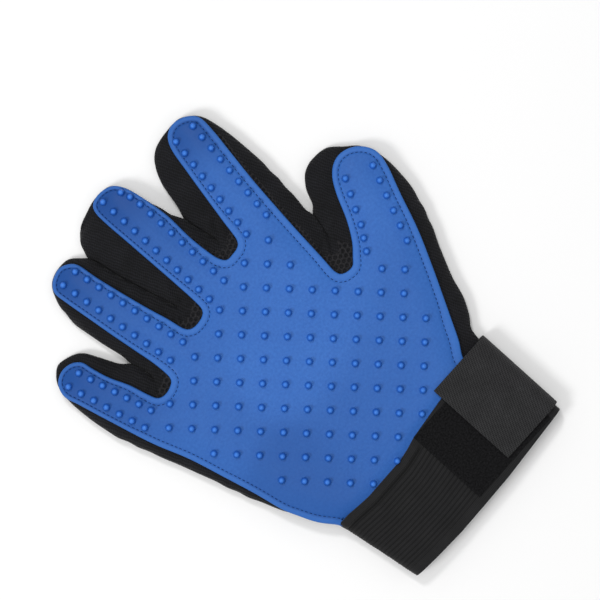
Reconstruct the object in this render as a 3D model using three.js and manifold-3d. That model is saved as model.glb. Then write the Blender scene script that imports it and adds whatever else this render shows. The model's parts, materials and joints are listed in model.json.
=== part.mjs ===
// A pet grooming glove for the right hand, lying on its back with the rubber brush face up.
// Millimetres. +Y runs from the wrist to the fingertips, +X towards the thumb, +Z out of the palm.
// The origin is on the face the glove rests on, under the middle of the palm.
//
// The glove is a flat fabric shell: a mesh panel on the back of the hand, a mesh panel under the palm, and side
// strips between the two, with a hollow for the hand inside. A moulded rubber pad with nubs is sewn to the palm
// panel. An elastic cuff closes the wrist, with a strap that folds over its thumb side onto a loop patch.
// The fingers bend at their creases, so every layer is cut there into a palm piece and a finger piece.
import * as THREE from "three";
import { mergeVertices } from "three/addons/utils/BufferGeometryUtils.js";
import Module from "manifold-3d";

const wasm = await Module();
wasm.setup();

// ---- Driving dimensions ----

const GAP = 0.3; // kept between pieces that touch
const CREASE_GAP = 0.8; // between palm and finger pieces, along a crease
const LAYER = 1; // thickness of a fabric panel
const WALL = 1.2; // thickness of a side strip
const TUCK = 1; // how far a side strip tucks in under its outer fold
const BACK_TOP = 1.5; // the back panel lies from 0 to here
const PANEL_BOTTOM = 9.6; // underside of the palm panel
const PANEL_TOP = PANEL_BOTTOM + LAYER;
const FOLD_Z = 4.5; // height of the side strips' outer fold
const PAD_BOTTOM = PANEL_TOP + GAP;
const PAD_TOP = PAD_BOTTOM + 1.6;
const PANEL_INSET = WALL + 0.4; // from the pad's edge to the palm panel's, inside the side strip

const NUB = { root: 1.65, tip: 0.85, height: 3, sides: 6, sunk: 0.6 };
const NUB_PITCH = { up: 11.95, along: 11.45 }; // of the grid on the palm, between its rows and along them
const NUB_TURN = THREE.MathUtils.degToRad(39.7); // the grid's turn from the glove's own axes
const NUB_START = [-12.2, -16.6]; // one nub of that grid
const NUB_EDGE = 4.5; // least distance from a nub to the pad's edge
const NUB_APART = 7; // least distance from a grid nub to a finger's nub

const CUFF = { bottom: 1.2, height: 10, wall: 1.6, rings: 6, seamGap: 0.8 };
const CUFF_TOP = CUFF.bottom + CUFF.height;
const TAPE = { width: 50, centreY: -89.8 }; // hook-and-loop tape, 50 mm wide
const LOOP = { left: 4.2, right: 56.5, top: -75.5, bottom: -117.5, z: CUFF_TOP + GAP, thick: 0.8 };
const HOOK = { left: 29.5, right: 55, top: -76.5, bottom: -113, z: LOOP.z + LOOP.thick + GAP, thick: 0.5 };
const STRAP = { end: 27.6, hinge: 57.9, sewnEnd: 31, z: HOOK.z + HOOK.thick + GAP, thick: 0.9 };

// ---- Outline ----

// Stations round the glove, from the cuff's little-finger corner over the fingertips to its thumb corner. Each is
// [pad edge x, y, fabric's outer fold x, y]. Each finger's list runs from one crotch to the next.
const LITTLE_SIDE = [
  [-54.5, -74, -53.8, -74],
  [-60.2, -65.5, -59.4, -65],
  [-64.3, -56, -63.6, -55.5],
  [-67.2, -48, -67.6, -48.5],
  [-70.3, -33, -73.4, -34],
  [-74.5, -16, -78.9, -16],
  [-79.4, 3, -84.6, 3],
];
const LITTLE = [
  [-86, 22, -90.8, 21],
  [-91.5, 43, -96.8, 42],
  [-96, 61, -98.7, 60],
  [-98.3, 70, -98, 70.5],
  [-96.3, 76.3, -95.6, 78.4],
  [-92.2, 79.3, -91.6, 82.3],
  [-87.8, 80, -87.3, 83.4],
  [-83, 78.6, -81.3, 82],
  [-79.5, 75, -76.3, 78.2],
  [-78.4, 69.5, -72.5, 71.5],
  [-76, 60, -67.6, 61],
  [-72, 50, -63.2, 52],
  [-69.3, 40, -62.9, 46.5],
  [-67.3, 35, -62.8, 44.4],
];
const RING = [
  [-63.5, 33.5, -62.2, 43.8],
  [-58.8, 34.4, -61.6, 44.4],
  [-55.7, 37.4, -61.4, 46.5],
  [-55.8, 48, -61.8, 52.5],
  [-57.4, 60, -63.6, 62],
  [-59.3, 74, -66.3, 76],
  [-61, 88, -68, 90],
  [-62.6, 101, -66.3, 102],
  [-63.1, 108.5, -64, 108.8],
  [-60.5, 112.6, -60.7, 112.9],
  [-56.5, 114.7, -56.5, 115],
  [-52, 115.4, -51.6, 115.7],
  [-47.5, 113.2, -46, 114.9],
  [-44.6, 109, -41.6, 110.4],
  [-43, 98, -38.7, 103],
  [-40.6, 85, -36, 89],
  [-37.4, 69.5, -32.3, 74],
  [-34.5, 57.5, -29.8, 65],
  [-32.7, 48.5, -28.7, 61],
];
const MIDDLE = [
  [-29.5, 45.5, -28, 60.2],
  [-24.5, 45.4, -27.6, 60.2],
  [-20.5, 47, -27.3, 61],
  [-19.1, 51.5, -28.4, 65.5],
  [-19, 67, -30.9, 74.5],
  [-19.3, 85, -34.6, 89.5],
  [-19.6, 100, -37.3, 104.5],
  [-19.9, 113, -37.4, 112],
  [-19.4, 120.5, -34.6, 117.8],
  [-17, 124.3, -26, 123],
  [-12, 125.6, -16, 125.3],
  [-6.3, 124.6, -7, 125],
  [-2.3, 121.6, -2.5, 121.9],
  [0.6, 115, 0.7, 115],
  [2.5, 104.5, 2.9, 103],
  [3.7, 92, 5.3, 92.5],
  [3.2, 77, 7.3, 82],
  [3.8, 66, 8.7, 74],
  [4.8, 59.5, 9.7, 68.5],
];
const INDEX = [
  [7, 55.7, 10.4, 66.8],
  [11, 55.4, 10.8, 66.6],
  [15.3, 56, 11.2, 67],
  [18, 59, 11.3, 68.8],
  [20.2, 70, 10, 74.5],
  [23.3, 85, 8.8, 82],
  [26.5, 100, 12.3, 101],
  [29.2, 112, 16.8, 112],
  [32.3, 118.2, 22.5, 118.3],
  [36.5, 121, 30, 121],
  [41.5, 121.3, 40, 121.7],
  [47.2, 118.7, 47.4, 118.9],
  [51, 113.5, 52, 113],
  [50.6, 104, 54.6, 103],
  [48.2, 89, 55.6, 88],
  [45.6, 73, 55.2, 72],
  [43.6, 57, 54, 57],
  [41.7, 40, 52, 42],
  [40, 22, 50.9, 35],
];
const THUMB = [
  [39, 11.5, 50.2, 31],
  [41, 7.8, 50.5, 30.2],
  [46.5, 6.8, 50.9, 30.2],
  [50.5, 10, 51.5, 31.4],
  [56, 15.5, 52.9, 36.5],
  [62, 24.5, 57, 43],
  [68, 36.5, 60.7, 50.5],
  [73, 44, 66.5, 56],
  [78.5, 48.2, 74, 58],
  [84.5, 49.3, 82, 56.3],
  [91, 47, 90, 49.3],
  [95.8, 42, 95.6, 42.2],
  [97.8, 35.5, 97.9, 34],
  [95.8, 27, 98, 24],
  [90, 13.5, 96, 10.5],
];
const THUMB_SIDE = [
  [82.5, -5, 91, -4],
  [74, -22, 83.5, -19.5],
  [66, -37, 76.5, -34],
  [59.5, -49, 71, -48.5],
  [54.8, -57.5, 64.3, -57.5],
  [50, -64.3, 62.2, -64.3],
];
const EDGE = [LITTLE_SIDE, LITTLE, RING, MIDDLE, INDEX, THUMB, THUMB_SIDE].flat();

// The wrist seam, where the pad and panels end and the cuff begins, from the thumb side back to the start.
const WRIST = [
  [44, -69.8],
  [28, -70.4],
  [3, -73],
  [-8, -75],
  [-35, -75.6],
];
// The cuff's sides, as [left x, right x] at even steps from the seam to the hem, and the hem's height at its two
// ends and its middle.
const CUFF_SIDES = [
  [-54, 62],
  [-51, 62.4],
  [-49.4, 62.7],
  [-48.7, 63],
  [-48.2, 63.2],
  [-47.4, 63.4],
];
const HEM = { left: -120, middle: -122.2, right: -118 };

// Where each finger bends: a point on its crease, the crease's direction towards the thumb, how far the cut runs
// to each side of the point, and its rows of nubs as [from, to, count].
const CREASES = {
  little: {
    at: [-80.9, 41.9],
    across: [0.95, 0.313],
    reach: [30, 19.6],
    tip: [-88.5, 78],
    bend: 70,
    rows: [
      [[-93, 72], [-82.5, 30], 7],
      [[-84.5, 72.8], [-74, 33.5], 7],
    ],
  },
  ring: {
    at: [-46.5, 61.6],
    across: [0.994, 0.11],
    reach: [18, 17.6],
    tip: [-54, 114],
    bend: 70,
    rows: [
      [[-57, 108], [-49, 43], 10],
      [[-48, 108], [-38, 44.5], 10],
    ],
  },
  middle: {
    at: [-9, 67],
    across: [1, 0],
    reach: [20.5, 19.2],
    tip: [-11, 124],
    bend: 70,
    rows: [
      [[-12.8, 121], [-13.3, 49], 11],
      [[-3.2, 117.6], [-1.8, 112.6], 2],
      [[-1.2, 106.4], [-1.5, 49.8], 9],
    ],
  },
  index: {
    at: [32, 67.2],
    across: [0.997, -0.074],
    reach: [21.6, 38],
    tip: [40.5, 120],
    bend: 70,
    rows: [
      [[34, 114], [23.2, 57], 9],
      [[45.5, 113], [37, 56], 9],
    ],
  },
  thumb: {
    at: [74, 18.5],
    across: [0.84, -0.54],
    reach: [26.9, 30],
    tip: [92, 46],
    bend: 60,
    rows: [
      [[76.9, 38.8], [68.8, 24.6], 3],
      [[65, 17.6], [57, 6.6], 3],
      [[91, 33], [74.5, -4.8], 6],
    ],
  },
};
const FINGERS = Object.keys(CREASES);
// Lines that run out between the fingers, from near the crotch to past the fingertips.
const FAR = 150;
const BETWEEN = {
  little: [[-63, 53], [-65.3, 61.5], [-69.3, 74], [-75, 100], [-78, FAR]],
  ring: [[-31.6, 74], [-35.3, 89], [-38, 104], [-39.4, 111], [-41, 125], [-41, FAR]],
  middle: [[9.4, 74], [8, 81.8], [7.3, 92], [8, 102], [9, FAR]],
};
const OUTSIDE = {
  little: [[-110, FAR]],
  index: [[70, FAR]],
  thumbInner: [[52, 37], [53.6, 43], [58, 62]],
  thumbOuter: [[110, -12], [120, 60], [75, 75]],
};

// The part of the palm that carries the square grid of nubs.
const NUB_FIELD = [
  [-80, 18], [-70, 34], [-44, 38], [-36, 42], [-14, 44], [12, 50], [30, 50], [34, 10], [44, 3], [60, 4],
  [70, -12], [60, -26], [58, -40], [48, -51], [30, -64], [20, -70], [8, -71], [-6, -77], [-31, -77],
  [-38, -66], [-54, -48], [-61, -38], [-61, -20], [-66, -14], [-74, -4],
];

// ---- Plan geometry ----

const padEdge = EDGE.map(([x, y]) => [x, y]);
const foldEdge = EDGE.map(([, , x, y]) => [x, y]);

// Outward unit normals of an open line that runs clockwise round the glove.
function normals(line) {
  return line.map((_, i) => {
    const [ax, ay] = line[Math.max(i - 1, 0)];
    const [bx, by] = line[Math.min(i + 1, line.length - 1)];
    const length = Math.hypot(bx - ax, by - ay);
    return [-(by - ay) / length, (bx - ax) / length];
  });
}

function offset(line, distance) {
  const out = normals(line);
  return line.map(([x, y], i) => [x + distance * out[i][0], y + distance * out[i][1]]);
}

// An outline closed along the wrist seam. Its two ends are brought to the seam's height.
function closedAtWrist(line) {
  const ends = [line[0][0], line.at(-1)[0]];
  const seam = WRIST.filter(([x]) => x > ends[0] + 2 && x < ends[1] - 2);
  return [...line, ...seam];
}

function inside([x, y], outline) {
  let odd = false;
  outline.forEach(([ax, ay], i) => {
    const [bx, by] = outline[(i + 1) % outline.length];
    if (ay > y !== by > y && x < ax + ((y - ay) / (by - ay)) * (bx - ax)) odd = !odd;
  });
  return odd;
}

function distanceTo([x, y], line) {
  let best = Infinity;
  for (let i = 0; i + 1 < line.length; i++) {
    const [ax, ay] = line[i];
    const [dx, dy] = [line[i + 1][0] - ax, line[i + 1][1] - ay];
    const t = THREE.MathUtils.clamp(((x - ax) * dx + (y - ay) * dy) / (dx * dx + dy * dy), 0, 1);
    best = Math.min(best, Math.hypot(x - ax - t * dx, y - ay - t * dy));
  }
  return best;
}

// ---- Solids ----

function solidOf(geometry) {
  const bare = geometry.index ? geometry.toNonIndexed() : geometry.clone();
  for (const name of Object.keys(bare.attributes)) if (name !== "position") bare.deleteAttribute(name);
  const merged = mergeVertices(bare, 1e-4);
  const mesh = { numProp: 3, vertProperties: merged.attributes.position.array };
  return new wasm.Manifold(new wasm.Mesh({ ...mesh, triVerts: new Uint32Array(merged.index.array) }));
}

function geometryOf(solid) {
  const { vertProperties, triVerts } = solid.getMesh();
  const geometry = new THREE.BufferGeometry();
  geometry.setAttribute("position", new THREE.BufferAttribute(vertProperties, 3));
  geometry.setIndex(new THREE.BufferAttribute(triVerts, 1));
  const flat = geometry.toNonIndexed();
  flat.computeVertexNormals();
  return flat;
}

// A flat plate of an outline, from one height to another.
function plate(outline, bottom, top) {
  const shape = new THREE.Shape(outline.map(([x, y]) => new THREE.Vector2(x, y)));
  const geometry = new THREE.ExtrudeGeometry(shape, { depth: top - bottom, bevelEnabled: false });
  return solidOf(geometry.translate(0, 0, bottom));
}

// A closed skin over sections that all have the same number of points. Each section's points run round it, and
// the two end sections are filled with a strip of quads, or left to meet when the sections close on themselves.
function skin(sections, closed) {
  const n = sections[0].length;
  const points = sections.flat();
  const faces = [];
  const quad = (a, b, c, d) => faces.push(a, b, c, a, c, d);
  const spans = closed ? sections.length : sections.length - 1;
  for (let s = 0; s < spans; s++) {
    const next = ((s + 1) % sections.length) * n;
    for (let k = 0; k < n; k++) quad(s * n + k, s * n + ((k + 1) % n), next + ((k + 1) % n), next + k);
  }
  if (!closed) {
    const last = (sections.length - 1) * n;
    for (let k = 0; k < n / 2 - 1; k++) {
      quad(n - 1 - k, n - 2 - k, k + 1, k);
      quad(last + k, last + k + 1, last + n - 2 - k, last + n - 1 - k);
    }
  }
  const geometry = new THREE.BufferGeometry().setFromPoints(points).setIndex(faces);
  const solid = solidOf(geometry);
  return solid.volume() > 0 ? solid : solidOf(flipped(geometry));
}

function flipped(geometry) {
  const index = [...geometry.index.array];
  return geometry.clone().setIndex(index.map((_, i) => index[i - (i % 3) + 2 - (i % 3)]));
}

// The side strips in one piece: from under the pad's edge out and down to the fold, and in under it.
function sideStrips() {
  const padOut = normals(padEdge);
  const foldOut = normals(foldEdge);
  const at = ([x, y], [nx, ny], inward, z) => new THREE.Vector3(x - inward * nx, y - inward * ny, z);
  const sections = EDGE.map((_, i) => [
    at(padEdge[i], padOut[i], 0, PANEL_TOP),
    at(foldEdge[i], foldOut[i], 0, FOLD_Z),
    at(foldEdge[i], foldOut[i], TUCK, 0),
    at(foldEdge[i], foldOut[i], TUCK + WALL, 0),
    at(foldEdge[i], foldOut[i], WALL + 0.2, FOLD_Z - 0.3),
    at(padEdge[i], padOut[i], WALL, PANEL_TOP - WALL),
  ]);
  return skin(sections, false);
}

// Everything past a finger's crease, as a tall block. The crease itself is moved out along the finger by shift.
function beyondCrease(name, shift) {
  const { at, across, reach } = CREASES[name];
  const end = (t) => [at[0] + t * across[0] - shift * across[1], at[1] + t * across[1] + shift * across[0]];
  const past = {
    little: [...OUTSIDE.little, ...BETWEEN.little.toReversed()],
    ring: [...BETWEEN.little.slice(2), ...BETWEEN.ring.toReversed()],
    middle: [...BETWEEN.ring, ...BETWEEN.middle.toReversed()],
    index: [...BETWEEN.middle, ...OUTSIDE.index],
    thumb: [...OUTSIDE.thumbInner, ...OUTSIDE.thumbOuter.toReversed()],
  }[name];
  return plate([end(-reach[0]), ...past, end(reach[1])], -5, 40);
}

// Cuts a solid into its palm piece and one piece for each finger.
function cutAtCreases(solid) {
  const pieces = { palm: solid };
  for (const name of FINGERS) {
    pieces[name] = solid.intersect(beyondCrease(name, CREASE_GAP / 2));
    pieces.palm = pieces.palm.subtract(beyondCrease(name, -CREASE_GAP / 2));
  }
  return pieces;
}

// ---- Nubs ----

function nubPlaces() {
  const rows = FINGERS.flatMap((name) => CREASES[name].rows).flatMap(([from, to, count]) =>
    Array.from({ length: count }, (_, i) => {
      const t = i / (count - 1);
      return [from[0] + t * (to[0] - from[0]), from[1] + t * (to[1] - from[1])];
    }),
  );
  const outline = closedAtWrist(padEdge);
  const grid = [];
  const [c, s] = [Math.cos(NUB_TURN), Math.sin(NUB_TURN)];
  for (let i = -12; i <= 12; i++)
    for (let j = -12; j <= 12; j++) {
      const [up, along] = [i * NUB_PITCH.up, j * NUB_PITCH.along];
      const place = [NUB_START[0] + up * c + along * s, NUB_START[1] + up * s - along * c];
      const clear = rows.every(([x, y]) => Math.hypot(x - place[0], y - place[1]) > NUB_APART);
      if (clear && inside(place, NUB_FIELD) && inside(place, outline) && distanceTo(place, padEdge) > NUB_EDGE)
        grid.push(place);
    }
  return [...rows, ...grid];
}

function nub([x, y]) {
  const profile = [
    [0, -NUB.sunk],
    [NUB.root, -NUB.sunk],
    [NUB.root, 0],
    [NUB.tip, NUB.height],
    [0, NUB.height],
  ].map(([r, z]) => new THREE.Vector2(r, z));
  const geometry = new THREE.LatheGeometry(profile, NUB.sides).rotateX(Math.PI / 2);
  return solidOf(geometry.translate(x, y, PAD_TOP));
}

function rubberPad() {
  const sheet = plate(closedAtWrist(padEdge), PAD_BOTTOM, PAD_TOP);
  return wasm.Manifold.union([sheet, ...nubPlaces().map(nub)]);
}

// ---- Cuff and strap ----

function seamHeight(x) {
  const line = [foldEdge[0], ...WRIST.toReversed(), [50, -69.6], [64, -69.4]];
  const i = Math.max(1, line.findIndex(([lx]) => lx > x));
  const [[ax, ay], [bx, by]] = [line[i - 1], line[i]];
  return ay + ((x - ax) / (bx - ax)) * (by - ay) - CUFF.seamGap;
}

function hemHeight(x, left, right) {
  const t = (x - left) / (right - left);
  const straight = HEM.left + t * (HEM.right - HEM.left);
  const dip = HEM.middle - (HEM.left + HEM.right) / 2;
  return straight + dip * 4 * t * (1 - t);
}

// The cuff's cross-section is a flattened tube: two straight runs joined by half circles.
function flatTube(left, right, bottom, top) {
  const r = (top - bottom) / 2;
  const runs = 7;
  const turns = 4;
  const points = [];
  for (let i = 0; i < runs; i++) points.push([left + r + (i / runs) * (right - left - 2 * r), top]);
  for (let i = 0; i < turns; i++) {
    const a = Math.PI * (0.5 - i / turns);
    points.push([right - r + r * Math.cos(a), bottom + r + r * Math.sin(a)]);
  }
  for (let i = 0; i < runs; i++) points.push([right - r - (i / runs) * (right - left - 2 * r), bottom]);
  for (let i = 0; i < turns; i++) {
    const a = -Math.PI * (0.5 + i / turns);
    points.push([left + r + r * Math.cos(a), bottom + r + r * Math.sin(a)]);
  }
  return points;
}

function cuff() {
  const ring = (step, wall) => {
    const [left, right] = CUFF_SIDES[step];
    const v = step / (CUFF.rings - 1);
    return flatTube(left + wall, right - wall, CUFF.bottom + wall, CUFF_TOP - wall).map(
      ([x, z]) => new THREE.Vector3(x, (1 - v) * seamHeight(x) + v * hemHeight(x, left, right), z),
    );
  };
  const steps = Array.from({ length: CUFF.rings }, (_, i) => i);
  return skin([...steps.map((i) => ring(i, 0)), ...steps.toReversed().map((i) => ring(i, CUFF.wall))], true);
}

function rectangle(left, right, bottom, top) {
  return [[left, bottom], [right, bottom], [right, top], [left, top]];
}

// The strap's fixed half, seen along the wrist: sewn under the cuff and turned up round its thumb side.
function strapTurn() {
  const outer = (STRAP.z + STRAP.thick) / 2;
  const inner = outer - STRAP.thick;
  const shape = new THREE.Shape();
  shape.moveTo(STRAP.sewnEnd, 0);
  shape.lineTo(STRAP.hinge, 0);
  shape.absarc(STRAP.hinge, outer, outer, -Math.PI / 2, Math.PI / 2, false);
  shape.lineTo(STRAP.hinge, STRAP.z);
  shape.absarc(STRAP.hinge, outer, inner, Math.PI / 2, -Math.PI / 2, true);
  shape.lineTo(STRAP.sewnEnd, STRAP.thick);
  const geometry = new THREE.ExtrudeGeometry(shape, { depth: TAPE.width, bevelEnabled: false, curveSegments: 10 });
  return solidOf(geometry.rotateX(Math.PI / 2).translate(0, TAPE.centreY + TAPE.width / 2, 0));
}

function strapTab() {
  const half = TAPE.width / 2;
  const outline = rectangle(STRAP.end, STRAP.hinge - GAP, TAPE.centreY - half, TAPE.centreY + half);
  return plate(outline, STRAP.z, STRAP.z + STRAP.thick);
}

// The room the strap's fixed half takes up on the back of the glove, with a gap round it.
function strapFootprint() {
  const half = TAPE.width / 2 + GAP;
  const outline = rectangle(STRAP.sewnEnd - GAP, 70, TAPE.centreY - half, TAPE.centreY + half);
  return plate(outline, -1, BACK_TOP + 1);
}

// ---- Assembly ----

const RUBBER = { color: 0x2f62c4, roughness: 0.5, metalness: 0 };
const MESH_CLOTH = { color: 0x18181b, roughness: 0.95, metalness: 0 };
const KNIT = { color: 0x141417, roughness: 0.9, metalness: 0 };
const ELASTIC = { color: 0x1b1b1e, roughness: 0.9, metalness: 0 };
const LOOP_PILE = { color: 0x0f0f11, roughness: 1, metalness: 0 };
const WEBBING = { color: 0x222225, roughness: 0.8, metalness: 0 };
const HOOKS = { color: 0x1a1a1c, roughness: 0.7, metalness: 0 };

const glove = new THREE.Group();

function add(name, solid, look) {
  const mesh = new THREE.Mesh(geometryOf(solid), new THREE.MeshStandardMaterial(look));
  mesh.name = name;
  glove.add(mesh);
}

const pads = cutAtCreases(rubberPad());
const palmPanels = cutAtCreases(plate(closedAtWrist(offset(padEdge, -PANEL_INSET)), PANEL_BOTTOM, PANEL_TOP));
const backPanel = plate(closedAtWrist(offset(foldEdge, -TUCK - PANEL_INSET)), 0, BACK_TOP);
const backPanels = cutAtCreases(backPanel.subtract(strapFootprint()));
const strips = cutAtCreases(sideStrips());

for (const [name, solid] of Object.entries(pads)) add(`${name}_pad`, solid, RUBBER);
for (const [name, solid] of Object.entries(palmPanels)) add(`${name}_base_panel`, solid, MESH_CLOTH);
for (const [name, solid] of Object.entries(backPanels)) add(`${name}_back_panel`, solid, MESH_CLOTH);

// A finger's side strip is two pieces, sewn together at the fingertip.
for (const name of FINGERS) {
  const { at, tip } = CREASES[name];
  const length = Math.hypot(tip[0] - at[0], tip[1] - at[1]);
  const across = [(tip[1] - at[1]) / length, -(tip[0] - at[0]) / length, 0];
  const middle = tip[0] * across[0] + tip[1] * across[1];
  add(`${name}_side_strip_right`, strips[name].trimByPlane(across, middle + GAP / 2), KNIT);
  const left = across.map((x) => -x);
  add(`${name}_side_strip_left`, strips[name].trimByPlane(left, -middle + GAP / 2), KNIT);
}

// What is left of the side strips at the palm, from the little-finger side to the thumb side.
const PALM_STRIPS = [
  "little_side_strip", "ring_little_crotch", "middle_ring_crotch", "index_middle_crotch", "thumb_web", "thumb_side_strip",
];
const centreX = (solid) => (solid.boundingBox().min[0] + solid.boundingBox().max[0]) / 2;
const palmStrips = strips.palm.decompose().sort((a, b) => centreX(a) - centreX(b));
palmStrips.forEach((solid, i) => add(PALM_STRIPS[i], solid, KNIT));

add("elastic_cuff", cuff(), ELASTIC);
add("loop_patch", plate(rectangle(LOOP.left, LOOP.right, LOOP.bottom, LOOP.top), LOOP.z, LOOP.z + LOOP.thick), LOOP_PILE);
add("strap_sewn_half", strapTurn(), WEBBING);
add("strap_tab", strapTab(), WEBBING);
add("hook_patch", plate(rectangle(HOOK.left, HOOK.right, HOOK.bottom, HOOK.top), HOOK.z, HOOK.z + HOOK.thick), HOOKS);

export default glove;
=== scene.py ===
"""A pet grooming glove for the right hand, lying on its back with the rubber brush face up.

Plan sizes are in millimetres in the glove's own frame: +Y from the wrist to the fingertips, +X to the thumb
and +Z out of the palm. Meshes are made in millimetres and scaled to metres. Every cloth and rubber layer
follows one outline and is cut where each finger bends.
"""

import json
import math

import bpy
import numpy as np
from mathutils import Matrix, Vector
from mathutils.geometry import delaunay_2d_cdt


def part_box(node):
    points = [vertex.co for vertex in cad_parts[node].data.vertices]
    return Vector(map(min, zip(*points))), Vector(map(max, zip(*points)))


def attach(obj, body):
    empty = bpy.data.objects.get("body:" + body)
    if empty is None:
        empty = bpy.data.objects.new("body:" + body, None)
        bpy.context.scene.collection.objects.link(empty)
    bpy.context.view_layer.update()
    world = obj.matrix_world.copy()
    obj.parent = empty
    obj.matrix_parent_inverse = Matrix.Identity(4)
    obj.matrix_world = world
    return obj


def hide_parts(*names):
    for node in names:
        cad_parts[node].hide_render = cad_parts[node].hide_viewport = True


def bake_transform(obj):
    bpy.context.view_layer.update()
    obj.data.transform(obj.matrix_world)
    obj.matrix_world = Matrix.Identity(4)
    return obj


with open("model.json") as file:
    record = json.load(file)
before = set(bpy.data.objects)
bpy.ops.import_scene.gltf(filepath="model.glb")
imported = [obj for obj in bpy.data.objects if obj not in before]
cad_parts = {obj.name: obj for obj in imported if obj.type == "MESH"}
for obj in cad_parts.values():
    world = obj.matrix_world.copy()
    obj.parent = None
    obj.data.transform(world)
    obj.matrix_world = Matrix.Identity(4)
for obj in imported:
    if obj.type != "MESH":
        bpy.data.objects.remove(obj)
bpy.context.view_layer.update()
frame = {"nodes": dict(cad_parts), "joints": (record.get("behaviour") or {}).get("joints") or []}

MM = 0.001
UV_UNIT = 0.01  # one unit of UV is 100 mm
FINGERS = ("little", "ring", "middle", "index", "thumb")
JOINT = {j["child"]: j for j in frame["joints"]}
BODY = {name: "thumb" if name == "thumb" else f"{name}_finger" for name in FINGERS}

# ---- Driving sizes, in millimetres ----

STEP = 1.5  # length of one step along the outline
PAD_TOP = 12.4  # the rubber's upper face on the palm
PAD_THICK = 1.7
EDGE_FALL = {"depth": 1.3, "reach": 16}  # how far the rubber falls towards its edge, and from how far in
HEEL_FALL = {"depth": 1.2, "reach": 7}  # the same at its heel, under the cuff
DROOP_REACH = 34  # how far back from each fingertip the glove starts to droop
FOLD_HEIGHT = 5.2  # the fabric's outer fold
SHEET_GAP = 0.15  # between the rubber and the cloth under it
BEND_START = -0.5  # where cloth and rubber start to bend, measured past the finger's crease
NUB_SEGMENTS = 14
# Each nub's outline, from its foot to its blunt tip: [radius, height].
NUB_PROFILE = [
    (2.5, -0.12),
    (2.15, 0.04),
    (1.88, 0.22),
    (1.74, 0.6),
    (1.62, 1.2),
    (1.46, 1.95),
    (1.18, 2.52),
    (0.74, 2.88),
    (0.26, 3.02),
]
STITCH = {"pitch": 2.35, "length": 1.65, "radius": 0.17, "sunk": 0.2, "sides": 6}
# A thread's outline from end to end: [share of its length, share of its radius, height].
STITCH_OUTLINE = [
    (-0.5, 0.25, -0.3), (-0.42, 0.8, -0.08), (-0.2, 1, 0.02),
    (0.2, 1, 0.02), (0.42, 0.8, -0.08), (0.5, 0.25, -0.3),
]
# How far in from the rubber's edge its seam runs, near each place: [x, y, inset].
SEAM_INSETS = [
    (-52, -74, 3.6), (-68, -45, 3.2), (-80, 5, 3.0), (-94, 55, 2.4), (-88, 80, 2.2), (-74, 58, 2.4),
    (-60, 35, 3.8), (-58, 70, 2.3), (-54, 114, 2.2), (-41, 88, 2.3), (-33, 58, 2.8), (-25, 46, 4.0),
    (-19, 72, 2.3), (-18, 112, 2.1), (-6, 125, 2.1), (3.5, 90, 2.2), (11, 55, 4.0), (24, 88, 2.6),
    (40, 121, 3.0), (48, 88, 3.6), (41, 35, 3.6), (44, 7, 4.2), (62, 24, 3.1), (86, 49, 3.0),
    (92, 18, 3.2), (74, -22, 3.8), (50, -66, 4.8),
]
# Painted shade on the rubber near each place, from 0 where it is lightest to 1 where it is darkest: darker
# where the glove droops at the fingertips and towards the little finger and the heel: [x, y, shade].
PAINTED_SHADE_PLACES = [
    (-8, 5, 0.0), (20, 20, 0.0), (68, -9, 0.2), (30, -50, 0.2), (-5, -55, 0.3), (-50, -52, 0.55),
    (-72, 9, 0.25), (-83, 50, 0.6), (-88, 75, 0.95), (-45, 48, 0.2), (-51, 79, 0.45), (-54, 110, 0.95),
    (-10, 50, 0.15), (-10, 85, 0.45), (-11, 121, 1.0), (28, 60, 0.1), (33, 83, 0.2), (41, 117, 0.9),
    (72, 17, 0.0), (91, 43, 0.3),
]
CAM = {"distance": 1500.0, "width": 300.0, "aim": (16.7, 15.05, 10.0), "roll": 42.0}

# Stations round the glove, from the cuff's little-finger corner over the fingertips to its thumb corner:
# [pad edge x, y, fabric's outer fold x, y], as in part.mjs.
LITTLE_SIDE = [
    (-52.6, -78.4, -52.2, -78.4), (-54.5, -74, -53.8, -74), (-60.2, -65.5, -59.4, -65),
    (-64.3, -56, -63.9, -55.5), (-67.2, -48, -67.8, -48.5), (-70.3, -33, -73.4, -34),
    (-74.5, -16, -78.9, -16), (-79.4, 3, -84.6, 3),
]
LITTLE = [
    (-86, 22, -90.8, 21), (-91.5, 43, -96.8, 42), (-96, 61, -98.7, 60), (-98.3, 70, -98, 70.5),
    (-96.3, 76.3, -95.6, 78.4), (-92.2, 79.3, -91.6, 82.3), (-87.8, 80, -87.3, 83.4),
    (-83, 78.6, -81.3, 82), (-79.5, 75, -76.3, 78.2), (-78.4, 69.5, -72.5, 71.5), (-76, 60, -67.6, 61),
    (-72, 50, -63.2, 52), (-69.3, 40, -62.9, 46.5), (-67.3, 35, -62.8, 44.4),
]
RING = [
    (-63.5, 33.5, -62.2, 43.8), (-58.8, 34.4, -61.6, 44.4), (-55.7, 37.4, -61.4, 46.5),
    (-55.8, 48, -61.8, 52.5), (-57.4, 60, -63.6, 62), (-59.3, 74, -66.3, 76), (-61, 88, -68, 90),
    (-62.6, 101, -66.3, 102), (-63.1, 108.5, -64, 108.8), (-60.5, 112.6, -60.7, 112.9),
    (-56.5, 114.7, -56.5, 115), (-52, 115.4, -51.6, 115.7), (-47.5, 113.2, -46, 114.9),
    (-44.6, 109, -41.6, 110.4), (-43, 98, -38.7, 103), (-40.6, 85, -36, 89), (-37.4, 69.5, -32.3, 74),
    (-34.5, 57.5, -29.8, 65), (-32.7, 48.5, -28.7, 61),
]
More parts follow.
